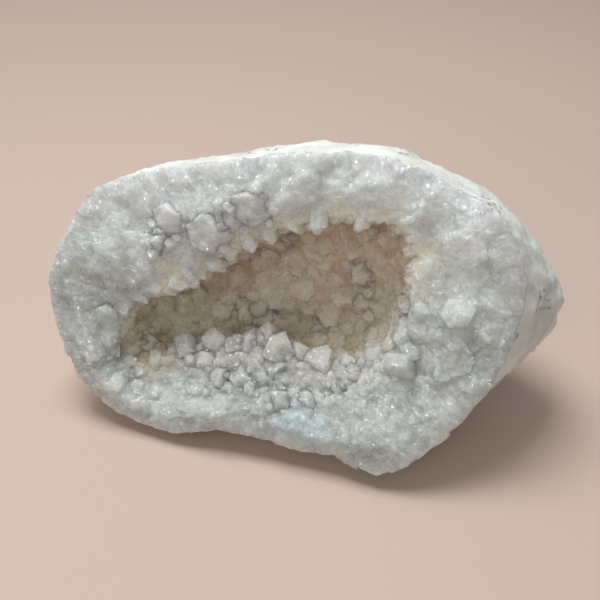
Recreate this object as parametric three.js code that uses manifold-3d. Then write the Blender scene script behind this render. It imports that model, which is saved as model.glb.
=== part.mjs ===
// A quartz geode, broken open. The nodule is a rounded stone that lies on a small flat spot with its
// broken face leaning back. From the outside in it is a thin chalky rind, a thick wall of intergrown
// quartz, and a hollow lined with quartz crystals that opens in the broken face.
//
// Units are millimetres, +Z is up and the broken face looks along -Y. The origin is the centre of the
// flat spot that the stone rests on. Shapes are worked out in the frame of the broken face: u to the
// right, v up the face, t straight back into the stone.
import * as THREE from "three";
import { mergeVertices } from "three/addons/utils/BufferGeometryUtils.js";
import Module from "manifold-3d";

const { degToRad, lerp, smoothstep } = THREE.MathUtils;
const wasm = await Module();
wasm.setup();

// ---------- driving dimensions ----------
const FACE_TILT = degToRad(20); // how far the broken face leans back from upright
const FACE_CENTRE = new THREE.Vector3(12, -12.5, 40.8); // where u, v and t are 0
const STONE_DEPTH = 50; // from the broken face to the back of the stone
const STONE_FULLNESS = 2.4; // 2 is an ellipsoid, more is boxier
const RIND_THICKNESS = 1.6;
const RIND_GAP = 0.75; // between the rind and the quartz, which touch in the real stone
const CRYSTAL_GAP = 0.35; // between a crystal and what it grows on or into
const HOLLOW_DEPTH = 31;
const HOLLOW_TAPER = 0.8; // 1 is an ellipsoid, less keeps the hollow wide towards its back
const HOLLOW_CLIMB = 9; // how far up the face's frame the hollow's back lies from its mouth
const FACE_DISH = 3.5; // how far the face falls from the rind to the edge of the hollow
const FACE_CROWN = 1.3; // how far the middle of the broken wall stands out between the two
// The heap of crystals on the hollow's floor: it rises most at the angle `at` round the mouth and
// `down` into the hollow, and dies away over `spread` and `depth`. All four are in radians.
const HEAP = { rise: 9.5, at: -1.75, spread: 0.85, down: 0.3, depth: 0.16 };
// The ledge across the hollow's back: how far it hangs out, and the angles into the hollow at which it
// starts from the roof and from the floor and at which it is complete.
const LEDGE = { out: 4, fromRoof: 0.35, fromFloor: 0.98, to: 1.14 };
const GRAININESS = 1; // how uneven the grains make the broken and the lined quartz
const CRYSTAL_STEEPNESS = 1.27; // height over inradius of a quartz crystal's six-sided point
const CRYSTAL_SHAFT = 0.35; // length over radius of the straight sides below the point
const CRYSTAL_ROOT = 1; // depth over radius of the part that starts inside the wall
const CRYSTAL_LEAN = 0.55; // how far crystals stray from standing square on the wall

const AROUND = 66; // points round each ring
const STONE_RINGS = 14;
const FACE_RINGS = 7;
const HOLLOW_RINGS = 16;

// The edge of the broken face and the mouth of the hollow, as [u, v], anticlockwise from the right.
const RIM_CENTRE = [-6, -1];
const RIM_OUTLINE = [
  [49, 3], [48.5, 13], [45, 22], [40, 28.5], [28, 33.5], [14, 37], [-4, 35.5], [-23, 31], [-39, 27],
  [-52, 21.5], [-59, 11], [-64.5, -4], [-62.5, -17], [-56, -30], [-48, -36], [-35, -39], [-26, -38.5],
  [-18, -35], [-5, -35.5], [4, -36.5], [11, -36], [20, -39], [29, -33.5], [39, -22], [46, -9],
];
const MOUTH_CENTRE = [-8, -4];
const MOUTH_OUTLINE = [
  [25, 2], [24, 10], [25, 17], [17, 22], [5, 21], [-8, 17.5], [-18, 11], [-25, 4], [-34, -2.5],
  [-44, -8], [-48, -16], [-48, -26], [-42, -31], [-27, -28], [-12, -26.5], [2, -25.5], [13, -22],
  [20, -15], [23, -7],
];

// The break is never quite flat: its edge lies this far in front of or behind the face's plane.
const RIM_WAVES = [
  { depth: 1.2, turns: 2, start: 0.6 },
  { depth: 0.7, turns: 5, start: 1.9 },
];
// Behind its broken edge the stone swells: `out` mm, most at the angle `at` round the face, in radians.
const SWELLING_ALL_ROUND = 1.5;
const SWELLINGS = [
  { out: 19, at: 0.03, spread: 0.34 },
  { out: 2, at: 1.8, spread: 0.45 },
  { out: 5.5, at: -1.65, spread: 0.8 },
];
// Gentle lumps: their height and their size across.
const STONE_LUMPS = [
  { height: 1.3, size: 38 },
  { height: 0.6, size: 17 },
];
const FACE_LUMPS = { height: 1.1, size: 19 };
const LUMPS_CENTRE_DEPTH = 18; // the stone's lumps stand out from the point this far behind the face

// Rows of the larger crystals. A row stands on the wall of the hollow at the angle `down` into it, or
// on the broken face at the share `across` of the way from the hollow to the rind. Its first and last
// crystals are at the angles `from` and `to` round the face. Each crystal is `sunk` mm into the wall
// and strays from its row by up to half of `stray` degrees.
const CRYSTAL_ROWS = [
  { name: "roof_crystal", count: 12, from: 22, to: 172, down: 12, radius: 3.1, sunk: 0.8, stray: 7 },
  { name: "side_crystal", count: 4, from: -38, to: 10, down: 13, radius: 3.3, sunk: 1, stray: 10 },
  { name: "floor_crystal", count: 9, from: 212, to: 318, down: 18, radius: 3.8, sunk: 1.4, stray: 9 },
  { name: "front_crystal", count: 8, from: 218, to: 312, down: 6, radius: 3.4, sunk: 1.2, stray: 8 },
  { name: "back_crystal", count: 10, from: 8, to: 332, down: 58, radius: 4, sunk: 1.8, stray: 26 },
  { name: "face_crystal", count: 5, from: 104, to: 158, across: 0.45, radius: 5, sunk: 3.2, stray: 6 },
];

// ---------- small helpers ----------
// A repeatable number from 0 to 1 for a pair of indices.
function grain(a, b) {
  const s = Math.sin(a * 127.1 + b * 311.7) * 43758.5453;
  return s - Math.floor(s);
}

// Gentle unevenness from -1 to 1: three crossing waves about `size` mm long.
function waves(p, size) {
  const k = (2 * Math.PI) / size;
  return (
    (Math.sin(k * (0.8 * p.x + 0.5 * p.y + 0.3 * p.z) + 1) +
      Math.sin(k * (-0.4 * p.x + 0.7 * p.y + 0.6 * p.z) + 2.3) +
      Math.sin(k * (0.3 * p.x - 0.6 * p.y + 0.8 * p.z) + 4.1)) / 3
  );
}

// A bump from 0 to 1 that is highest at the angle `at` and dies away over `spread` radians.
function near(theta, at, spread) {
  const apart = Math.atan2(Math.sin(theta - at), Math.cos(theta - at));
  return Math.exp(-((apart / spread) ** 2));
}

// The distance from `centre` to a smooth closed outline, as a function of the angle.
function radiusOf(outline, centre) {
  const points = outline.map(([u, v]) => new THREE.Vector3(u - centre[0], v - centre[1], 0));
  const curve = new THREE.CatmullRomCurve3(points, true);
  const samples = curve.getPoints(720).map((p) => [Math.atan2(p.y, p.x), Math.hypot(p.x, p.y)]);
  samples.sort((a, b) => a[0] - b[0]);
  return (theta) => {
    const angle = Math.atan2(Math.sin(theta), Math.cos(theta));
    let i = samples.findIndex(([at]) => at > angle);
    if (i < 1) i = samples.length - 1;
    const [a0, r0] = samples[i - 1];
    const [a1, r1] = samples[i];
    return lerp(r0, r1, Math.min(1, Math.max(0, (angle - a0) / (a1 - a0 || 1))));
  };
}

const rimRadius = radiusOf(RIM_OUTLINE, RIM_CENTRE);
const mouthRadius = radiusOf(MOUTH_OUTLINE, MOUTH_CENTRE);

// From the broken face's frame to the stone's.
function place(u, v, t) {
  const c = Math.cos(FACE_TILT);
  const s = Math.sin(FACE_TILT);
  return new THREE.Vector3(u, v * s + t * c, v * c - t * s).add(FACE_CENTRE);
}

const OUT_OF_FACE = place(0, 0, -1).sub(place(0, 0, 0));

// The unit normal of a surface given by an angle round the axis and a distance along it, on the side
// of the axis if the distance runs into the stone.
function normalOf(surface, theta, along) {
  const step = 0.01;
  const round = surface(theta + step, along).sub(surface(theta - step, along));
  const down = surface(theta, along + step).sub(surface(theta, along - step));
  return round.cross(down).normalize();
}

// ---------- the three surfaces ----------
function rimDip(theta) {
  return RIM_WAVES.reduce((sum, w) => sum + w.depth * Math.sin(w.turns * theta + w.start), 0);
}

function swelling(theta) {
  return SWELLINGS.reduce((sum, s) => sum + s.out * near(theta, s.at, s.spread), SWELLING_ALL_ROUND);
}

// The outside of the stone: theta runs round the face, phi from its edge (0) to the back (pi / 2).
function outside(theta, phi) {
  const power = 2 / STONE_FULLNESS;
  const across = Math.abs(Math.cos(phi)) ** power * Math.sign(Math.cos(phi));
  const back = Math.abs(Math.sin(phi)) ** power * Math.sign(Math.sin(phi));
  const r = rimRadius(theta) * across + swelling(theta) * Math.sin(2 * phi) * Math.cos(phi);
  const t = STONE_DEPTH * back + rimDip(theta) * Math.cos(phi);
  const p = place(RIM_CENTRE[0] + r * Math.cos(theta), RIM_CENTRE[1] + r * Math.sin(theta), t);
  const lumps = STONE_LUMPS.reduce((sum, lump) => sum + lump.height * waves(p, lump.size), 0);
  const outward = p.clone().sub(place(...RIM_CENTRE, LUMPS_CENTRE_DEPTH)).normalize();
  return p.addScaledVector(outward, lumps * Math.sqrt(Math.max(0, Math.sin(phi))));
}

// The outside moved inwards by `inset`, and worn flat where the stone rests.
function shell(theta, phi, inset) {
  const p = outside(theta, phi);
  if (inset > 0) p.addScaledVector(normalOf(outside, theta, phi), inset);
  p.z = Math.max(p.z, inset);
  return p;
}

// The hollow: theta runs round its mouth, phi from the mouth (0) to the back (pi / 2).
function hollow(theta, phi) {
  const r = mouthRadius(theta) * Math.abs(Math.cos(phi)) ** HOLLOW_TAPER;
  const downwards = Math.max(0, -Math.sin(theta)) ** 2;
  const dish = FACE_DISH * Math.cos(phi) ** 2 * (1 - 0.5 * downwards);
  const heap = HEAP.rise * near(theta, HEAP.at, HEAP.spread) * near(phi, HEAP.down, HEAP.depth);
  const start = lerp(LEDGE.fromRoof, LEDGE.fromFloor, downwards);
  const ledge = LEDGE.out * smoothstep(phi, start, LEDGE.to);
  const u = MOUTH_CENTRE[0] + r * Math.cos(theta);
  const v = MOUTH_CENTRE[1] + r * Math.sin(theta) + HOLLOW_CLIMB * Math.sin(phi) + heap;
  return place(u, v, HOLLOW_DEPTH * Math.sin(phi) + dish - ledge);
}

// The broken face: inwards 0 is its edge at the rind and 1 is the mouth of the hollow.
function face(theta, inwards) {
  const p = shell(theta, 0, RIND_THICKNESS + RIND_GAP).lerp(hollow(theta, 0), inwards);
  const crown = FACE_CROWN + FACE_LUMPS.height * waves(p, FACE_LUMPS.size);
  return p.addScaledVector(OUT_OF_FACE, crown * Math.sin(Math.PI * inwards));
}

// ---------- solids ----------
function ring(surface) {
  return Array.from({ length: AROUND }, (_, i) => surface((i / AROUND) * 2 * Math.PI, i));
}

// A closed body through rings of points, from the point `first` to the point `last`.
function loft(first, rings, last) {
  const points = [first, ...rings.flat(), last];
  const index = [];
  const at = (j, i) => 1 + j * AROUND + (i % AROUND);
  for (let i = 0; i < AROUND; i++) {
    index.push(0, at(0, i + 1), at(0, i));
    for (let j = 0; j + 1 < rings.length; j++) {
      index.push(at(j, i), at(j + 1, i + 1), at(j + 1, i));
      index.push(at(j, i), at(j, i + 1), at(j + 1, i + 1));
    }
    index.push(points.length - 1, at(rings.length - 1, i), at(rings.length - 1, i + 1));
  }
  const geometry = new THREE.BufferGeometry().setFromPoints(points);
  geometry.setIndex(index);
  return geometry;
}

// Rings of the outside from the back of the stone to the broken face, `inset` deep.
function stoneRings(inset) {
  return Array.from({ length: STONE_RINGS }, (_, j) => {
    const phi = (1 - (j + 1) / STONE_RINGS) * 0.5 * Math.PI;
    return ring((theta) => shell(theta, phi, inset));
  });
}

function rind() {
  const inner = stoneRings(RIND_THICKNESS).reverse();
  const back = (inset) => shell(0, 0.5 * Math.PI, inset);
  return loft(back(0), [...stoneRings(0), ...inner], back(RIND_THICKNESS));
}

function quartzWall() {
  const inset = RIND_THICKNESS + RIND_GAP;
  const rings = stoneRings(inset);
  const unevenness = (i, j) => GRAININESS * (grain(i, j) - 0.5);
  for (let j = 1; j < FACE_RINGS; j++) {
    const inwards = j / FACE_RINGS;
    rings.push(
      ring((theta, i) => face(theta, inwards).addScaledVector(OUT_OF_FACE, unevenness(i, j))),
    );
  }
  for (let j = 0; j < HOLLOW_RINGS; j++) {
    const phi = (j / HOLLOW_RINGS) * 0.5 * Math.PI;
    rings.push(
      ring((theta, i) =>
        hollow(theta, phi).addScaledVector(normalOf(hollow, theta, phi), unevenness(j, i)),
      ),
    );
  }
  return loft(shell(0, 0.5 * Math.PI, inset), rings, hollow(0, 0.5 * Math.PI));
}

function solidOf(geometry) {
  const bare = geometry.index ? geometry.toNonIndexed() : geometry.clone();
  bare.deleteAttribute("normal");
  bare.deleteAttribute("uv");
  const merged = mergeVertices(bare, 1e-4);
  return new wasm.Manifold(
    new wasm.Mesh({
      numProp: 3,
      vertProperties: merged.attributes.position.array,
      triVerts: new Uint32Array(merged.index.array),
    }),
  );
}

function geometryOf(solid) {
  const mesh = solid.getMesh();
  const geometry = new THREE.BufferGeometry();
  geometry.setAttribute("position", new THREE.BufferAttribute(mesh.vertProperties, 3));
  geometry.setIndex(new THREE.BufferAttribute(mesh.triVerts, 1));
  return geometry;
}

// ---------- crystals ----------
// A six-sided quartz crystal that points along +Y, grown by `margin` on every side.
function crystalGeometry(radius, margin) {
  const wide = radius + margin;
  const tip = CRYSTAL_SHAFT * radius + CRYSTAL_STEEPNESS * wide * Math.cos(Math.PI / 6);
  const profile = [
    new THREE.Vector2(0, -CRYSTAL_ROOT * radius),
    new THREE.Vector2(wide, -CRYSTAL_ROOT * radius),
    new THREE.Vector2(wide, CRYSTAL_SHAFT * radius),
    new THREE.Vector2(0, tip),
  ];
  return new THREE.LatheGeometry(profile, 6);
}

// Crystal number i of a row: it is cut where it meets the wall and the crystals in `grown`, to which
// it is added with its gap round it.
function crystal(wall, row, i, grown) {
  const onFace = "across" in row;
  const surface = onFace ? face : hollow;
  const share = i / (row.count - 1);
  const theta = degToRad(lerp(row.from, row.to, share) + row.stray * (grain(i, row.radius) - 0.5));
  const along = onFace
    ? 1 - row.across + 0.3 * (grain(row.radius, i) - 0.5)
    : degToRad(row.down + row.stray * (grain(row.down, i) - 0.5));
  const radius = row.radius * (0.82 + 0.36 * grain(i, row.count));
  const axis = normalOf(surface, theta, along);
  const lean = new THREE.Vector3(grain(i, 1) - 0.5, grain(i, 2) - 0.5, grain(i, 3) - 0.5);
  axis.addScaledVector(lean, CRYSTAL_LEAN).normalize();
  const foot = surface(theta, along).addScaledVector(axis, CRYSTAL_GAP - row.sunk);
  const turn = new THREE.Quaternion().setFromUnitVectors(new THREE.Vector3(0, 1, 0), axis);
  const spin = grain(i, 4) * Math.PI;
  const grow = (margin) =>
    solidOf(
      crystalGeometry(radius, margin)
        .rotateY(spin)
        .applyQuaternion(turn)
        .translate(foot.x, foot.y, foot.z),
    );
  const lift = axis.clone().multiplyScalar(CRYSTAL_GAP).toArray();
  let solid = grow(0).subtract(wall.translate(lift)).subtract(wall);
  for (const other of grown) solid = solid.subtract(other);
  grown.push(grow(CRYSTAL_GAP));
  return geometryOf(solid.decompose().sort((a, b) => b.volume() - a.volume())[0]);
}

// ---------- the stone ----------
const chalk = new THREE.MeshStandardMaterial({ color: 0xc9cabb, roughness: 0.9, metalness: 0 });
const milkyQuartz = new THREE.MeshStandardMaterial({ color: 0xc3c6c0, roughness: 0.4, metalness: 0 });
const clearQuartz = new THREE.MeshStandardMaterial({ color: 0xcfd0c6, roughness: 0.2, metalness: 0 });

const geode = new THREE.Group();

function add(name, geometry, material) {
  const mesh = new THREE.Mesh(geometry, material);
  mesh.name = name;
  geode.add(mesh);
}

const wallGeometry = quartzWall();
const wall = solidOf(wallGeometry);
add("rind", rind(), chalk);
add("quartz_wall", wallGeometry, milkyQuartz);
const grown = [];
for (const row of CRYSTAL_ROWS) {
  for (let i = 0; i < row.count; i++) {
    add(`${row.name}_${i + 1}`, crystal(wall, row, i, grown), clearQuartz);
  }
}

export default geode;
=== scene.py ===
import math
import random
from itertools import product

import bmesh
import bpy
import numpy as np
from mathutils import Matrix, Vector, noise
from mathutils.bvhtree import BVHTree


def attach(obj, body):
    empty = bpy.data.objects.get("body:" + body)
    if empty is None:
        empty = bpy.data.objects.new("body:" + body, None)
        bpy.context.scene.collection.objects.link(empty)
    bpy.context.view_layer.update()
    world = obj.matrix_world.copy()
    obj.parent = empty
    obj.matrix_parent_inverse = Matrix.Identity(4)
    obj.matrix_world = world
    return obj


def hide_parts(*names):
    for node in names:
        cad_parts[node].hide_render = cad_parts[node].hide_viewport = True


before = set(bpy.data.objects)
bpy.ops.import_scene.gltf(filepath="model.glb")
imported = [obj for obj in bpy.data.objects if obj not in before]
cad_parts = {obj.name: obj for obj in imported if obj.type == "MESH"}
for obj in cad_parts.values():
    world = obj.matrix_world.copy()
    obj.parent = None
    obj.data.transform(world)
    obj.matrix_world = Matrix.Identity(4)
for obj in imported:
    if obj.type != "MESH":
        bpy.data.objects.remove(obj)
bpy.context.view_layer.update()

MM = 0.001
NEIGHBOURS = tuple(product((-1, 0, 1), repeat=3))  # steps to a cell of a grid and to all round it

# ---------- the broken face's own frame: u right, v up the face, t back into the stone ----------
FACE_TILT = math.radians(20)
FACE_CENTRE = Vector((12, -12.5, 40.8)) * MM
FACE_RIGHT = Vector((1, 0, 0))
FACE_UP = Vector((0, math.sin(FACE_TILT), math.cos(FACE_TILT)))
FACE_BACK = Vector((0, math.cos(FACE_TILT), -math.sin(FACE_TILT)))
MOUTH_CENTRE = (-8, -4)  # of the hollow, as u and v in mm
RIM_CENTRE = (-6, -1)  # of the broken face


def face_coordinates(points):
    """The u, v and t of points in metres, each as an array in mm."""
    apart = (np.asarray(points) - np.array(FACE_CENTRE)) / MM
    return apart @ np.array(FACE_RIGHT), apart @ np.array(FACE_UP), apart @ np.array(FACE_BACK)


# ---------- camera ----------
CAMERA_AZIMUTH = math.radians(15)
CAMERA_ELEVATION = math.radians(38)
CAMERA_DISTANCE = 0.213
CAMERA_LENS = 55
SENSOR_WIDTH = 36
NEAREST_SEEN = 0.01
AIM_OFFSET = Vector((-0.5, 1.9, 0))  # from the face's centre, right and up in the picture, in mm


def make_camera():
    across = math.cos(CAMERA_ELEVATION)
    back = Vector((
        math.sin(CAMERA_AZIMUTH) * across,
        -math.cos(CAMERA_AZIMUTH) * across,
        math.sin(CAMERA_ELEVATION),
    ))
    turn = (-back).to_track_quat("-Z", "Y")
    data = bpy.data.cameras.new("camera")
    data.lens = CAMERA_LENS
    data.sensor_width = SENSOR_WIDTH
    data.clip_start = NEAREST_SEEN
    camera = bpy.data.objects.new("camera", data)
    camera.rotation_mode = "QUATERNION"
    camera.rotation_quaternion = turn
    aim = FACE_CENTRE + turn @ AIM_OFFSET * MM
    camera.location = aim + back * CAMERA_DISTANCE
    bpy.context.scene.collection.objects.link(camera)
    bpy.context.scene.camera = camera


make_camera()

# ---------- noise ----------
CELL_PRIMES = (73856093, 19349663, 83492791)
SEED_PRIME = 2654435761
MIXER = np.uint64(0xFF51AFD7ED558CCD)
FACET_STEP = 0.35  # how much neighbouring facets differ in height, in cell sizes
ROLL_SHIFT = (7.1, 3.3, 5.7)  # how far one seed's noise lies from the next one's
ROLL_GAIN = 1.8


def smooth(x, low, high):
    """0 below low and 1 above high, with a soft step between. low may be the larger."""
    share = np.clip((x - low) / (high - low), 0, 1)
    return share * share * (3 - 2 * share)


def hashed(cell, seed):
    """Three repeatable random numbers from 0 to 1 for each row of whole numbers."""
    c = cell.astype(np.int64).astype(np.uint64)
    x, y, z = (c[:, i] * np.uint64(prime) for i, prime in enumerate(CELL_PRIMES))
    h = x ^ y ^ z ^ np.uint64(seed * SEED_PRIME % 2**63)
    out = []
    for _ in range(3):
        h = h ^ (h >> np.uint64(33))
        h = h * MIXER
        h = h ^ (h >> np.uint64(29))
        # A float holds 53 bits, so the lowest 11 are dropped.
        out.append((h >> np.uint64(11)).astype(np.float64) / 2**53)
    return np.stack(out, 1)


def nearest_cells(points, size, seed):
    """For each point, the way to it from the centre of its irregular cell, in cell sizes, and three
    random numbers that are the same all over the cell."""
    q = points / size
    base = np.floor(q)
    best = np.full(len(q), np.inf)
    apart = np.zeros_like(q)
    owner = np.zeros_like(q)
    for step in NEIGHBOURS:
        cell = base + step
        way = q - cell - hashed(cell, seed)
        far = (way**2).sum(1)
        closer = far < best
        best[closer] = far[closer]
        apart[closer] = way[closer]
        owner[closer] = cell[closer]
    return apart, hashed(owner, seed + 1)


def facets(points, size, seed, slope):
    """Heights, in cell sizes, of a surface broken into flat facets: one tilted plane for each cell."""
    apart, chance = nearest_cells(points, size, seed)
    tilt = (chance - 0.5) * 2 * slope
    return (apart * tilt).sum(1) + FACET_STEP * (chance[:, 0] - chance[:, 1])


def rolling(points, size, seed):
    """Gentle unevenness from about -1 to 1."""
    shift = Vector([seed * step for step in ROLL_SHIFT])
    return np.array([noise.noise(Vector(p) / size + shift) for p in points]) * ROLL_GAIN


def broken(points, size, height, seed, slope):
    """A layer of relief made of facets. Its size and height are in mm, and so are the points."""
    return height * facets(points, size, seed, slope)


def swell(points, size, height, seed):
    """A layer of gentle relief. Its size and height are in mm, and so are the points."""
    return height * rolling(points, size, seed)


# ---------- meshes ----------
SAME_CORNER = 1e-6


def coordinates(mesh):
    co = np.empty(len(mesh.vertices) * 3)
    mesh.vertices.foreach_get("co", co)
    return co.reshape(-1, 3)


def set_coordinates(mesh, co):
    mesh.vertices.foreach_set("co", np.ascontiguousarray(co).ravel())
    mesh.update()


def vertex_normals(mesh):
    normals = np.empty(len(mesh.vertices) * 3)
    mesh.vertices.foreach_get("normal", normals)
    return normals.reshape(-1, 3)


def add_object(name, mesh):
    piece = bpy.data.objects.new(name, mesh)
    bpy.context.scene.collection.objects.link(piece)
    return piece


def welded_copy(node, name):
    """A copy of a CAD node whose faces share their corners."""
    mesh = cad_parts[node].data.copy()
    bm = bmesh.new()
    bm.from_mesh(mesh)
    bmesh.ops.remove_doubles(bm, verts=bm.verts, dist=SAME_CORNER)
    bm.to_mesh(mesh)
    bm.free()
    mesh.materials.clear()
    return add_object(name, mesh)


def apply_modifier(piece, kind, **settings):
    modifier = piece.modifiers.new(kind, kind)
    for key, value in settings.items():
        setattr(modifier, key, value)
    evaluated = piece.evaluated_get(bpy.context.evaluated_depsgraph_get())
    mesh = bpy.data.meshes.new_from_object(evaluated)
    piece.modifiers.clear()
    old = piece.data
    piece.data = mesh
    bpy.data.meshes.remove(old)


def tree_of(node):
    """For finding the nearest place on a CAD node."""
    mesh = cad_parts[node].data
    return BVHTree.FromPolygons([v.co for v in mesh.vertices], [p.vertices for p in mesh.polygons])


def distances(tree, points):
    return np.array([tree.find_nearest(Vector(p))[3] for p in points])


RIND_TREE = tree_of("rind")
WALL_TREE = tree_of("quartz_wall")

# ---------- the wall of quartz ----------
QUARTZ_VOXEL = 0.38 * MM
RIND_GAP = 0.75 * MM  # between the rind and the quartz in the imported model
RIND_THICKNESS = 1.6 * MM
HIDDEN_WITHIN = 1.25  # gap widths from the rind: where the wall's faces are merged
SPARE_FACES = 0.03  # share of all the faces that stays where they are merged
FULL_WEIGHT = 1000  # keeps the merging to the vertices of the group

# Layers of relief, as (size, height, seed, slope). The rim has its own.
LUMPS = (9, 0.65, 1, 0.9)
BLOCKS = (4.6, 0.4, 7, 0.9)
RUBBLE = (2.3, 0.22, 3, 1.0)
SUGAR = (1.2, 0.12, 5, 1.0)
RIM_BLOCKS = (4.5, 0.8, 8, 0.7)
RIM_RUBBLE = (2.3, 0.35, 9, 0.6)
LUMP_SWELL = (7, 0.4, 2)  # a gentle layer, without a slope
RAISED = 0.3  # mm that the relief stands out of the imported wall

# How much of each layer is lost deep in the hollow.
LUMPS_LOST = 0.4
BLOCKS_LOST = 0.3
GRAINS_LOST = 0.8
DEEP_STEP = (3, 8)  # behind the face, in mm

# The quartz spreads across the gap to the rind, and at the rim over the rind's edge.
INNER_STEP = (RIND_GAP * 1.05, RIND_GAP * 2.2)  # from the rind: where the relief begins
RIM_STEP = (1.5, 4)  # behind the face, in mm
GAP_FILLED = 1.15  # gap widths
RIM_OVERHANG = 0.3 * MM


def thin_out(piece, hidden, ratio):
    """Merges faces at the hidden vertices of a mesh, until a ratio of all its faces is left."""
    group = piece.vertex_groups.new(name="hidden")
    group.add([int(i) for i in np.flatnonzero(hidden)], 1, "REPLACE")
    apply_modifier(piece, "DECIMATE", ratio=ratio, vertex_group="hidden", vertex_group_factor=FULL_WEIGHT)
    piece.vertex_groups.clear()


def make_wall():
    wall = welded_copy("quartz_wall", "quartz")
    apply_modifier(wall, "REMESH", mode="VOXEL", voxel_size=QUARTZ_VOXEL, adaptivity=0)
    hidden = distances(RIND_TREE, coordinates(wall.data)) < RIND_GAP * HIDDEN_WITHIN
    thin_out(wall, hidden, (~hidden).mean() + SPARE_FACES)
    return wall


def shape_wall(wall):
    """Breaks the smooth wall into grains, and spreads it sideways until it meets the rind."""
    mesh = wall.data
    co = coordinates(mesh)
    normal = vertex_normals(mesh)
    inner = smooth(distances(RIND_TREE, co), *INNER_STEP)
    p = co / MM
    u, v, t = face_coordinates(co)
    deep = smooth(t, *DEEP_STEP)
    lumps = broken(p, *LUMPS) + swell(p, *LUMP_SWELL)
    blocks = broken(p, *BLOCKS)
    grains = broken(p, *RUBBLE) + broken(p, *SUGAR)
    height = lumps * (1 - LUMPS_LOST * deep) + blocks * (1 - BLOCKS_LOST * deep)
    height = height + grains * (1 - GRAINS_LOST * deep)
    height = height * inner + RAISED * inner
    moved = co + normal * (height * MM)[:, None]
    beside_rind = 1 - inner
    at_rim = 1 - smooth(t, *RIM_STEP)
    sideways = (u - RIM_CENTRE[0])[:, None] * np.array(FACE_RIGHT)
    sideways = sideways + (v - RIM_CENTRE[1])[:, None] * np.array(FACE_UP)
    sideways /= np.linalg.norm(sideways, axis=1)[:, None]
    direction = normal * (1 - at_rim)[:, None] + sideways * at_rim[:, None]
    spread = RIND_GAP * GAP_FILLED + (RIND_THICKNESS + RIM_OVERHANG) * at_rim
    rim_grain = MM * (broken(p, *RIM_BLOCKS) + broken(p, *RIM_RUBBLE))
    moved += direction * (beside_rind * spread + beside_rind * at_rim * rim_grain)[:, None]
    set_coordinates(mesh, moved)


# ---------- crystals ----------
INRADIUS = math.cos(math.pi / 6)  # of a hexagon whose radius is 1

# A crystal is cut from a block. Sizes are in radii of the crystal.
BLOCK_WIDTH = 3
BLOCK_SPARE = 2.4  # height above the crystal's length
SIDE_RANGE = (0.78, 1.12)  # how far out the six sides stand, next to a regular hexagon's
END_RANGE = (0.7, 1.2)  # where the six end faces start, next to the crystal's length
END_STEPS = (0, 0, 0.25, 0.5)  # how much later some of them start
MERGED = 0.02  # corners closer than this become one


def clip(bm, point, direction):
    """Keeps the part of a closed convex mesh that lies behind a plane."""
    geometry = bm.verts[:] + bm.edges[:] + bm.faces[:]
    cut = bmesh.ops.bisect_plane(
        bm, geom=geometry, plane_co=point, plane_no=direction, clear_outer=True, dist=1e-9
    )
    edges = [e for e in cut["geom_cut"] if isinstance(e, bmesh.types.BMEdge)]
    if edges:
        bmesh.ops.contextual_create(bm, geom=edges)


def crystal_mesh(name, radius, length, root, rng, steepness):
    """A quartz crystal along +Z from -root to its point, which starts to narrow at length: six sides
    and six end faces that have grown unequally. The steepness is the point's height over its inradius."""
    bm = bmesh.new()
    bmesh.ops.create_cube(bm, size=1)
    tall = root + length + radius * BLOCK_SPARE
    for vert in bm.verts:
        vert.co.x *= radius * BLOCK_WIDTH
        vert.co.y *= radius * BLOCK_WIDTH
        vert.co.z = (vert.co.z + 0.5) * tall - root
    inradius = radius * INRADIUS
    slope = math.atan(1 / steepness)
    for k in range(6):
        angle = (k + 0.5) * math.pi / 3
        out = Vector((math.cos(angle), math.sin(angle), 0))
        near = inradius * rng.uniform(*SIDE_RANGE)
        clip(bm, out * near, out)
        up = Vector((out.x * math.cos(slope), out.y * math.cos(slope), math.sin(slope)))
        start = length * rng.uniform(*END_RANGE) + radius * rng.choice(END_STEPS)
        clip(bm, out * inradius + Vector((0, 0, start)), up)
    bmesh.ops.remove_doubles(bm, verts=bm.verts, dist=radius * MERGED)
    bmesh.ops.triangulate(bm, faces=bm.faces)
    bmesh.ops.recalc_face_normals(bm, faces=bm.faces)
    mesh = bpy.data.meshes.new(name)
    bm.to_mesh(mesh)
    bm.free()
    return mesh


def standing(point, axis, spin):
    """The matrix that puts a crystal's foot at a point, with its length along an axis."""
    turn = axis.to_track_quat("Z", "Y").to_matrix().to_4x4()
    return Matrix.Translation(point) @ turn @ Matrix.Rotation(spin, 4, "Z")


# ---------- places of the small crystals ----------
DRUSE_SEED = 11
DRUSE_TRIES = 40000
GRID_PITCH = 6 * MM
CLEAR_OF_RIND = 5 * MM
UPPER_ARC = (15, 175)  # of the mouth's edge, in degrees from its right
UPPER_START = 3  # mm behind the face, where small crystals begin
LOWER_START = 2
START_SPREAD = 2
MOUTH_DEPTH = 9  # mm behind the face, where the crystals of the upper edge end
RANDOM_LEAN = 0.25
INWARD_LEAN = 0.8

# The heap of crystals on the hollow's floor, in mm: v at its top, t at its back, u at its left.
HEAP_TOP = -11
HEAP_BACK = 14
HEAP_LEFT = -32

# What grows where: (range of radius in mm, steepness, distance from others in radii of both).
MOUTH_DRUSE = ((1.6, 2.7), 1.1, 0.6)
HEAP_DRUSE = ((1.0, 2.3), 0.8, 0.6)
HOLLOW_DRUSE = ((2.2, 4.2), 0.5, 0.7)


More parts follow.
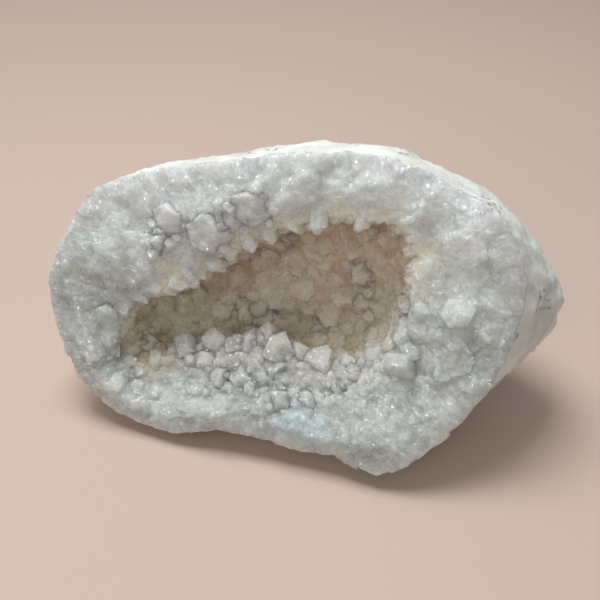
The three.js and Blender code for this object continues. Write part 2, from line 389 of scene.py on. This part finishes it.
def wall_samples(count, rng):
    """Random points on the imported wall, each with the direction out of the quartz."""
    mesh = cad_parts["quartz_wall"].data
    mesh.calc_loop_triangles()
    triangles = []
    areas = []
    for tri in mesh.loop_triangles:
        corners = [mesh.vertices[i].co for i in tri.vertices]
        triangles.append((corners, tri.normal.copy()))
        areas.append(tri.area)
    total = np.cumsum(areas)
    for _ in range(count):
        corners, normal = triangles[int(np.searchsorted(total, rng.random() * total[-1]))]
        a = rng.random()
        b = rng.random()
        if a + b > 1:
            a, b = 1 - a, 1 - b
        yield corners[0] + (corners[1] - corners[0]) * a + (corners[2] - corners[0]) * b, normal


def on_heap(u, v, t):
    """Whether a place in the hollow, in the face's frame, is on the heap of crystals on its floor."""
    return v < HEAP_TOP and t < HEAP_BACK and u > HEAP_LEFT


def druse_places(rng):
    """Where the small crystals stand: (point, axis, radius, steepness)."""
    places = []
    grid = {}
    for point, normal in wall_samples(DRUSE_TRIES, rng):
        if RIND_TREE.find_nearest(point)[3] < CLEAR_OF_RIND:
            continue
        u, v, t = (float(x) for x in face_coordinates(point))
        angle = math.degrees(math.atan2(v - MOUTH_CENTRE[1], u - MOUTH_CENTRE[0])) % 360
        upper = UPPER_ARC[0] < angle < UPPER_ARC[1]
        if t < (UPPER_START if upper else LOWER_START) + START_SPREAD * rng.random():
            continue
        if upper and t < MOUTH_DEPTH:
            radii, steepness, crowding = MOUTH_DRUSE
        elif on_heap(u, v, t):
            radii, steepness, crowding = HEAP_DRUSE
        else:
            radii, steepness, crowding = HOLLOW_DRUSE
        radius = rng.uniform(*radii) * MM
        key = tuple(int(math.floor(c / GRID_PITCH)) for c in point)
        near = (
            place
            for step in NEIGHBOURS
            for place in grid.get(tuple(a + b for a, b in zip(key, step)), ())
        )
        if any((other - point).length < crowding * (size + radius) for other, size in near):
            continue
        lean = Vector((rng.gauss(0, 1), rng.gauss(0, 1), rng.gauss(0, 1))) * RANDOM_LEAN
        if upper:
            inward = FACE_RIGHT * (MOUTH_CENTRE[0] - u) + FACE_UP * (MOUTH_CENTRE[1] - v)
            lean += inward.normalized() * INWARD_LEAN
        grid.setdefault(key, []).append((point, radius))
        places.append((point, (normal + lean).normalized(), radius, steepness))
    return places


# ---------- the larger crystals ----------
# For each kind of crystal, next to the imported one: how wide it is, how steep its point and how high.
CRYSTAL_HABITS = {
    "roof": (1.0, 1.2, 0.8),
    "side": (1.1, 0.9, 0.8),
    "floor": (0.9, 0.85, 0.66),
    "front": (0.9, 0.8, 0.62),
    "back": (1.3, 0.5, 0.6),
    "face": (1.2, 0.45, 0.5),
}
CRYSTAL_NODES = sorted(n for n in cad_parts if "_crystal_" in n)
CRYSTAL_SEED = 5
CRYSTAL_ROOT = 3.5 * MM  # below the foot, in the wall

COMPANIONS = 6  # small crystals round the foot of each larger one
COMPANION_SCATTER = 0.6  # of their even places round the foot
COMPANION_RING = (0.85, 1.15)  # from the foot, in radii of the larger crystal
COMPANION_RADIUS = (1.1, 2.0)  # in mm
COMPANION_STEEPNESS = 1.0
COMPANION_LEAN = 0.3  # away from the larger crystal
COMPANION_CLEAR = 4 * MM  # from the rind


def stance(node):
    """Where a packed crystal stands: its foot on the wall, its axis, its radius and its reach."""
    co = coordinates(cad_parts[node].data)
    tip = Vector(co[int(np.argmax(distances(WALL_TREE, co)))])
    foot = WALL_TREE.find_nearest(Vector(co.mean(0)))[0]
    axis = (tip - foot).normalized()
    apart = co - np.array(foot)
    along = apart @ np.array(axis)
    radius = np.linalg.norm(apart - along[:, None] * np.array(axis), axis=1).max()
    return foot, axis, radius, (tip - foot).length


def make_crystal(node, rng):
    """A packed crystal with its place and size, grown into the wall and with unequal faces."""
    foot, axis, radius, reach = stance(node)
    wide, steepness, high = CRYSTAL_HABITS[node.split("_")[0]]
    radius *= wide
    length = high * reach - steepness * radius * INRADIUS
    mesh = crystal_mesh(node, radius, length, CRYSTAL_ROOT, rng, steepness)
    mesh.transform(standing(foot, axis, rng.random() * math.tau))
    return add_object(node + "_grown", mesh)


def companion_places(rng):
    """Small crystals that grow round the feet of the larger ones: (point, axis, radius, steepness)."""
    for node in CRYSTAL_NODES:
        foot, axis, radius, _ = stance(node)
        side = axis.orthogonal().normalized()
        for k in range(COMPANIONS):
            angle = math.tau * (k + COMPANION_SCATTER * rng.random()) / COMPANIONS
            out = Matrix.Rotation(angle, 3, axis) @ side
            near = foot + out * radius * rng.uniform(*COMPANION_RING)
            point, normal = WALL_TREE.find_nearest(near)[:2]
            if RIND_TREE.find_nearest(point)[3] > COMPANION_CLEAR:
                lean = (normal + out * COMPANION_LEAN).normalized()
                yield point, lean, rng.uniform(*COMPANION_RADIUS) * MM, COMPANION_STEEPNESS


# ---------- small crystals joined to the wall ----------
# The range of their lengths and the depth of their roots, in radii.
BLUNT_LENGTH = (-0.1, 0.35)  # with a steepness below 1
SHARP_LENGTH = (-0.1, 0.9)
SMALL_ROOT = 1.6


def grow_druse(wall):
    rng = random.Random(DRUSE_SEED)
    holder = bpy.data.collections.new("druse")
    bpy.context.scene.collection.children.link(holder)
    made = []
    places = druse_places(rng) + list(companion_places(rng))
    for i, (point, axis, radius, steepness) in enumerate(places):
        lengths = BLUNT_LENGTH if steepness < 1 else SHARP_LENGTH
        length = radius * rng.uniform(*lengths)
        mesh = crystal_mesh(f"small_{i}", radius, length, radius * SMALL_ROOT, rng, steepness)
        piece = bpy.data.objects.new(f"small_{i}", mesh)
        piece.matrix_world = standing(point, axis, rng.random() * math.tau)
        holder.objects.link(piece)
        made.append(piece)
    print("small crystals", len(made))
    apply_modifier(
        wall, "BOOLEAN", operation="UNION", operand_type="COLLECTION", collection=holder, solver="MANIFOLD"
    )
    for piece in made:
        mesh = piece.data
        bpy.data.objects.remove(piece)
        bpy.data.meshes.remove(mesh)
    bpy.data.collections.remove(holder)


# ---------- the rind ----------
# Layers of gentle relief, as (size, height, seed).
RIND_SWELL = (5, 0.35, 21)
RIND_DENTS = (2.2, 0.25, 22)
RIND_RIDGES = (3, 0.4, 23)
RIDGE_LENGTH = 4  # of the rind's ridges along the rim, next to their width
OUTSIDE_STEP = (1.0 * MM, 2.0 * MM)  # from the quartz wall: the relief is only on the outside
EDGE_STEP = (1, 3)  # mm behind the face
RIM_SETBACK = 1.6 * MM  # of the rind's edge behind the broken quartz
REST_HEIGHT = 0.01 * MM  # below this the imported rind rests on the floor
FLOOR_CLEARANCE = 0.02 * MM  # of all the rest


def make_rind():
    rind = welded_copy("rind", "chalky_rind")
    apply_modifier(rind, "SUBSURF", levels=2, render_levels=2, subdivision_type="SIMPLE")
    mesh = rind.data
    co = coordinates(mesh)
    normal = vertex_normals(mesh)
    p = co / MM
    u, v, t = face_coordinates(co)
    outside = smooth(distances(WALL_TREE, co), *OUTSIDE_STEP)
    along_rim = np.stack([u / RIDGE_LENGTH, v / RIDGE_LENGTH, t], 1)
    height = swell(p, *RIND_SWELL) + swell(p, *RIND_DENTS) + swell(along_rim, *RIND_RIDGES)
    moved = co + normal * (height * outside * MM)[:, None]
    edge = 1 - smooth(t, *EDGE_STEP)
    moved += np.array(FACE_BACK) * (edge * RIM_SETBACK)[:, None]
    for polygon in mesh.polygons:
        polygon.use_smooth = True
    lowest = np.where(co[:, 2] < REST_HEIGHT, 0, FLOOR_CLEARANCE)
    moved[:, 2] = np.maximum(moved[:, 2], lowest)
    set_coordinates(mesh, moved)
    return rind


# ---------- colour by place ----------
FACE_COLOUR = (0.80, 0.84, 0.81)
LOW_PAINTED_SHADE_COLOUR = (0.60, 0.63, 0.60)  # painted shade: the lower part and the sides of the broken face, darker because they get less of the light from above
FROST_COLOUR = (0.64, 0.75, 0.77)  # of the bluish patch at the bottom of the face
DIRT_COLOUR = (0.34, 0.31, 0.23)  # of the soil at the face's left end
MOUTH_TINT_AND_GLOW_COLOUR = (0.92, 0.89, 0.73)  # of the thin crystals at the upper edge of the hollow: partly their own pale yellow, partly painted glow of light shining through them
# Partly the quartz's own warm tint, partly painted light: warm light through the wall and bounced up from
# the pink floor.
HOLLOW_TINT_AND_GLOW_COLOUR = (0.96, 0.80, 0.65)
OLIVE_COLOUR = (0.90, 0.83, 0.66)
HEAP_COLOUR = (0.79, 0.80, 0.76)

# How strongly some of them cover what is under them.
FROST_COVER = 0.8
DIRT_COVER = 0.8
MOUTH_TINT_AND_GLOW_COVER = 0.95
OLIVE_COVER = 0.85

# Where they change: soft steps in mm, and in degrees round the mouth from its right.
DRIFT_SIZE = 9  # of the slow noise that moves the steps
# The painted shade of the broken face gets darker towards its bottom and its two sides.
LOW_SHADE_STEP = (14, -18)
LOW_SHADE_SAG = 0.25  # how much lower v counts for each mm to the side
LOW_SHADE_DRIFT = 3
UPPER_BEGINS = (5, 30)
UPPER_ENDS = (165, 185)
MOUTH_STEP = (1.3, 3.2)
MOUTH_DRIFT = 0.5
INSIDE_STEP = (4, 11)
HEAP_BACK_STEP = (13, 16)
HEAP_CREST = -8
HEAP_CREST_STEP = (-1, 2)  # below the crest
HEAP_LEFT_STEP = (-40, -30)
OLIVE_RIGHT_STEP = (4, 12)
OLIVE_LEFT_STEP = (-30, -38)
OLIVE_TOP_STEP = (-2, 6)
OLIVE_CREST = -9
OLIVE_CREST_STEP = (-1, 1.5)  # below the crest
FROST_PLACE = (3, -30)
FROST_RADII = (6, 5)
FROST_STEP = (1.4, 0.7)  # in radii
FROST_DRIFT = 0.3
DIRT_LEFT_STEP = (62.8, 65)
DIRT_DRIFT = 0.6
DIRT_SPOTS = 2.5
DIRT_SPOT_STEP = (-0.4, 0.3)

GRAIN_SIZE = 2.6  # mm, of patches that differ in brightness
GRAIN_CONTRAST = 0.07
DRIFT_CONTRAST = 0.05


def blend(a, b, share):
    return a * (1 - share)[:, None] + np.array(b) * share[:, None]


def paint_quartz(mesh):
    """Gives each corner of a quartz mesh the colour of its place in the stone, with painted shade low on
    the face and painted glow at the mouth and in the hollow.
    """
    co = coordinates(mesh)
    u, v, t = face_coordinates(co)
    p = co / MM
    drift = rolling(p, DRIFT_SIZE, 31)
    angle = np.degrees(np.arctan2(v - MOUTH_CENTRE[1], u - MOUTH_CENTRE[0])) % 360
    upper = smooth(angle, *UPPER_BEGINS) * (1 - smooth(angle, *UPPER_ENDS))
    inside = smooth(t + drift, *INSIDE_STEP)
    heap = (1 - smooth(t + drift, *HEAP_BACK_STEP)) * smooth(HEAP_CREST - v, *HEAP_CREST_STEP)
    heap = heap * smooth(u, *HEAP_LEFT_STEP)
    beside = np.maximum(smooth(u, *OLIVE_RIGHT_STEP), smooth(u, *OLIVE_LEFT_STEP))
    beside = beside * (1 - smooth(v, *OLIVE_TOP_STEP))
    behind = smooth(OLIVE_CREST - v, *OLIVE_CREST_STEP)
    # painted shade: darker low on the broken face and towards its sides
    low = smooth(v - LOW_SHADE_SAG * np.abs(u - RIM_CENTRE[0]) + LOW_SHADE_DRIFT * drift, *LOW_SHADE_STEP)
    from_frost = np.hypot((u - FROST_PLACE[0]) / FROST_RADII[0], (v - FROST_PLACE[1]) / FROST_RADII[1])
    frost = smooth(from_frost + FROST_DRIFT * drift, *FROST_STEP)
    dirt = smooth(DIRT_DRIFT * drift - u, *DIRT_LEFT_STEP)
    dirt = dirt * smooth(rolling(p, DIRT_SPOTS, 33), *DIRT_SPOT_STEP)
    # partly own tint, partly painted glow: the thin crystals at the hollow's upper edge, as if lit through
    edge = smooth(t + MOUTH_DRIFT * drift, *MOUTH_STEP) * upper
    colour = blend(np.tile(FACE_COLOUR, (len(co), 1)), LOW_PAINTED_SHADE_COLOUR, low)
    colour = blend(colour, FROST_COLOUR, frost * FROST_COVER)
    colour = blend(colour, DIRT_COLOUR, dirt * DIRT_COVER)
    colour = blend(colour, MOUTH_TINT_AND_GLOW_COLOUR, edge * MOUTH_TINT_AND_GLOW_COVER)
    # partly own tint, partly painted warm light deep in the hollow
    colour = blend(colour, HOLLOW_TINT_AND_GLOW_COLOUR, inside)
    colour = blend(colour, OLIVE_COLOUR, inside * np.maximum(beside, behind) * OLIVE_COVER)
    colour = blend(colour, HEAP_COLOUR, inside * heap)
    _, chance = nearest_cells(p, GRAIN_SIZE, 41)
    colour *= (1 + GRAIN_CONTRAST * (chance[:, 0] - 0.5) + DRIFT_CONTRAST * drift)[:, None]
    layer = mesh.color_attributes.new("place_colour_with_painted_light", "FLOAT_COLOR", "POINT")
    values = np.concatenate([np.clip(colour, 0, 1), np.ones((len(co), 1))], 1)
    layer.data.foreach_set("color", values.ravel())


# ---------- materials ----------
MAP_SOCKETS = ("From Min", "From Max", "To Min", "To Max")


class Nodes:
    """A few short ways to add nodes to a material."""

    def __init__(self, name):
        self.material = bpy.data.materials.new(name)
        self.material.use_nodes = True
        self.tree = self.material.node_tree
        self.shader = self.tree.nodes["Principled BSDF"]
        self.place = self.tree.nodes.new("ShaderNodeTexCoord").outputs["Object"]

    def add(self, kind, **settings):
        node = self.tree.nodes.new("ShaderNode" + kind)
        for key, value in settings.items():
            setattr(node, key, value)
        return node

    def link(self, source, target):
        self.tree.links.new(source, target)

    def set(self, **values):
        for key, value in values.items():
            self.shader.inputs[key.replace("_", " ")].default_value = value

    def noise(self, size, detail=3, roughness=0.55):
        """Soft noise with features of a size in metres."""
        node = self.add("TexNoise")
        node.inputs["Scale"].default_value = 1 / size
        node.inputs["Detail"].default_value = detail
        node.inputs["Roughness"].default_value = roughness
        self.link(self.place, node.inputs["Vector"])
        return node.outputs["Fac"]

    def remap(self, value, source, target):
        """Turns the range source into the range target, and stops at its ends."""
        node = self.add("MapRange")
        self.link(value, node.inputs["Value"])
        for key, number in zip(MAP_SOCKETS, (*source, *target)):
            node.inputs[key].default_value = number
        return node.outputs["Result"]

    def maths(self, operation, a, b):
        node = self.add("Math", operation=operation)
        for socket, value in zip(node.inputs, (a, b)):
            if isinstance(value, (int, float)):
                socket.default_value = value
            else:
                self.link(value, socket)
        return node.outputs["Value"]

    def vector(self, operation, a, b, output="Vector"):
        node = self.add("VectorMath", operation=operation)
        for socket, value in zip(node.inputs, (a, b)):
            if isinstance(value, tuple):
                socket.default_value = value
            else:
                self.link(value, socket)
        return node.outputs[output]

    def mix(self, share, a, b, how="MIX"):
        node = self.add("Mix", data_type="RGBA", blend_type=how)
        colours = [i for i in node.inputs if i.type == "RGBA"]
        for socket, value in zip([node.inputs[0], *colours], (share, a, b)):
            if isinstance(value, (int, float, tuple)):
                socket.default_value = value
            else:
                self.link(value, socket)
        return [o for o in node.outputs if o.type == "RGBA"][0]

    def grains(self, size):
        """Heights, in grain sizes, of flat facets that each lean their own way."""
        node = self.add("TexVoronoi")
        node.inputs["Scale"].default_value = 1 / size
        self.link(self.place, node.inputs["Vector"])
        apart = self.vector("SUBTRACT", self.place, node.outputs["Position"])
        lean = self.vector("SUBTRACT", node.outputs["Color"], (0.5, 0.5, 0.5))
        return self.maths("MULTIPLY", self.vector("DOT_PRODUCT", apart, lean, "Value"), 2 / size)

    def bump(self, height, distance, strength=1.0, below=None):
        node = self.add("Bump")
        node.inputs["Distance"].default_value = distance
        node.inputs["Strength"].default_value = strength
        self.link(height, node.inputs["Height"])
        if below is not None:
            self.link(below, node.inputs["Normal"])
        return node.outputs["Normal"]


MOST_NOISE = (0.35, 0.65)  # the range that most values of a noise lie in
CLOUD_RANGE = (0.9, 1.08)  # of the brightness of cloudy quartz
VEIL_STEP = (0.55, 0.72)
VEIL_RANGE = (0, 0.3)
VEIL_COLOUR = (0.8, 0.83, 0.81, 1)
QUARTZ_IOR = 1.54
QUARTZ_GLOW = (1, 1, 0.92)  # how far red, green and blue go under the surface

PALE_CHALK = (0.82, 0.85, 0.80, 1)
DULL_CHALK = (0.66, 0.67, 0.60, 1)
CHALK_STEP = (0.4, 0.62)
SOIL_COLOUR = (0.22, 0.19, 0.12, 1)
SOIL_PATCHES = (0.5, 0.6)
SOIL_SPREAD = (0.1, 1)
SOIL_STEP = (0.5, 0.58)
SOIL_RANGE = (0, 0.75)


def quartz_material(name, roughness, glow):
    """Cloudy quartz with fine grains. The glow is how far light goes under its surface."""
    n = Nodes(name)
    painted = n.add("Attribute", attribute_name="place_colour_with_painted_light").outputs["Color"]
    cloud = n.remap(n.noise(5 * MM, 4), MOST_NOISE, CLOUD_RANGE)
    veil = n.remap(n.noise(1.6 * MM, 5, 0.7), VEIL_STEP, VEIL_RANGE)
    colour = n.mix(1.0, painted, n.vector("MULTIPLY", (1, 1, 1), cloud), "MULTIPLY")
    colour = n.mix(veil, colour, VEIL_COLOUR)
    n.link(colour, n.shader.inputs["Base Color"])
    rough = n.remap(n.noise(0.9 * MM, 4), MOST_NOISE, (roughness * 0.6, roughness * 1.5))
    n.link(rough, n.shader.inputs["Roughness"])
    coarse = n.bump(n.grains(1.4 * MM), 0.6 * MM)
    fine = n.bump(n.grains(0.6 * MM), 0.35 * MM, 1.0, coarse)
    n.link(n.bump(n.noise(0.25 * MM, 3), 0.05 * MM, 0.6, fine), n.shader.inputs["Normal"])
    n.set(Subsurface_Weight=1.0, Subsurface_Radius=QUARTZ_GLOW, Subsurface_Scale=glow, IOR=QUARTZ_IOR)
    return n.material


def chalk_material():
    """Dull chalk with paler patches and specks of soil."""
    n = Nodes("chalky rind")
    patch = n.remap(n.noise(9 * MM, 5), CHALK_STEP, (0, 1))
    colour = n.mix(patch, DULL_CHALK, PALE_CHALK)
    soil_patches = n.remap(n.noise(12 * MM, 3), SOIL_PATCHES, SOIL_SPREAD)
    soil = n.maths("MULTIPLY", soil_patches, n.noise(1.5 * MM, 5, 0.75))
    colour = n.mix(n.remap(soil, SOIL_STEP, SOIL_RANGE), colour, SOIL_COLOUR)
    n.link(colour, n.shader.inputs["Base Color"])
    rough = n.bump(n.noise(2.5 * MM, 6, 0.65), 0.5 * MM)
    n.link(n.bump(n.noise(0.4 * MM, 4, 0.7), 0.12 * MM, 1.0, rough), n.shader.inputs["Normal"])
    n.set(Roughness=0.85, Subsurface_Weight=0.2, Subsurface_Scale=1 * MM)
    return n.material


# ---------- the stone ----------
milky = quartz_material("milky quartz", 0.17, 7 * MM)
clear = quartz_material("clearer quartz", 0.13, 5 * MM)
chalk = chalk_material()

wall = make_wall()
shape_wall(wall)
grow_druse(wall)
paint_quartz(wall.data)
wall.data.materials.clear()
wall.data.materials.append(milky)
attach(wall, "root")
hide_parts("quartz_wall")

rind = make_rind()
rind.data.materials.append(chalk)
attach(rind, "root")
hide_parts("rind")

crystal_rng = random.Random(CRYSTAL_SEED)
for name in CRYSTAL_NODES:
    crystal = make_crystal(name, crystal_rng)
    paint_quartz(crystal.data)
    crystal.data.materials.append(clear)
    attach(crystal, "root")
    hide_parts(name)

print("quartz faces", len(wall.data.polygons), "rind faces", len(rind.data.polygons))

# ---------- floor and light ----------
FLOOR_HALF = 1.5
FLOOR_COLOUR = (0.56, 0.43, 0.36, 1)
FLOOR_ROUGHNESS = 0.7
LIGHT_TARGET = (0, 0, 0.03)
WORLD_COLOUR = (0.93, 0.96, 1, 1)
WORLD_STRENGTH = 0.33

# Square panels of light: (name, place, size, power, colour).
LIGHTS = (
    ("sky_panel", (-0.1, 0.02, 0.6), 0.28, 3.2, (0.97, 0.99, 1)),
    ("front_fill", (-0.1, -0.6, 0.45), 0.4, 0.8, (1, 0.99, 0.97)),
)


def make_floor():
    bm = bmesh.new()
    corners = [
        bm.verts.new((x * FLOOR_HALF, y * FLOOR_HALF, 0))
        for x, y in ((-1, -1), (1, -1), (1, 1), (-1, 1))
    ]
    bm.faces.new(corners)
    mesh = bpy.data.meshes.new("floor")
    bm.to_mesh(mesh)
    bm.free()
    floor = add_object("floor", mesh)
    n = Nodes("floor")
    n.set(Base_Color=FLOOR_COLOUR, Roughness=FLOOR_ROUGHNESS)
    mesh.materials.append(n.material)


def area_light(name, place, size, power, colour):
    data = bpy.data.lights.new(name, "AREA")
    data.shape = "SQUARE"
    data.size = size
    data.energy = power
    data.color = colour
    light = bpy.data.objects.new(name, data)
    light.location = place
    light.rotation_mode = "QUATERNION"
    light.rotation_quaternion = (Vector(LIGHT_TARGET) - Vector(place)).to_track_quat("-Z", "Y")
    bpy.context.scene.collection.objects.link(light)


make_floor()
for light in LIGHTS:
    area_light(*light)
world = bpy.data.worlds.new("room")
bpy.context.scene.world = world
world.use_nodes = True
world.node_tree.nodes["Background"].inputs["Color"].default_value = WORLD_COLOUR
world.node_tree.nodes["Background"].inputs["Strength"].default_value = WORLD_STRENGTH
bpy.context.scene.view_settings.view_transform = "Standard"
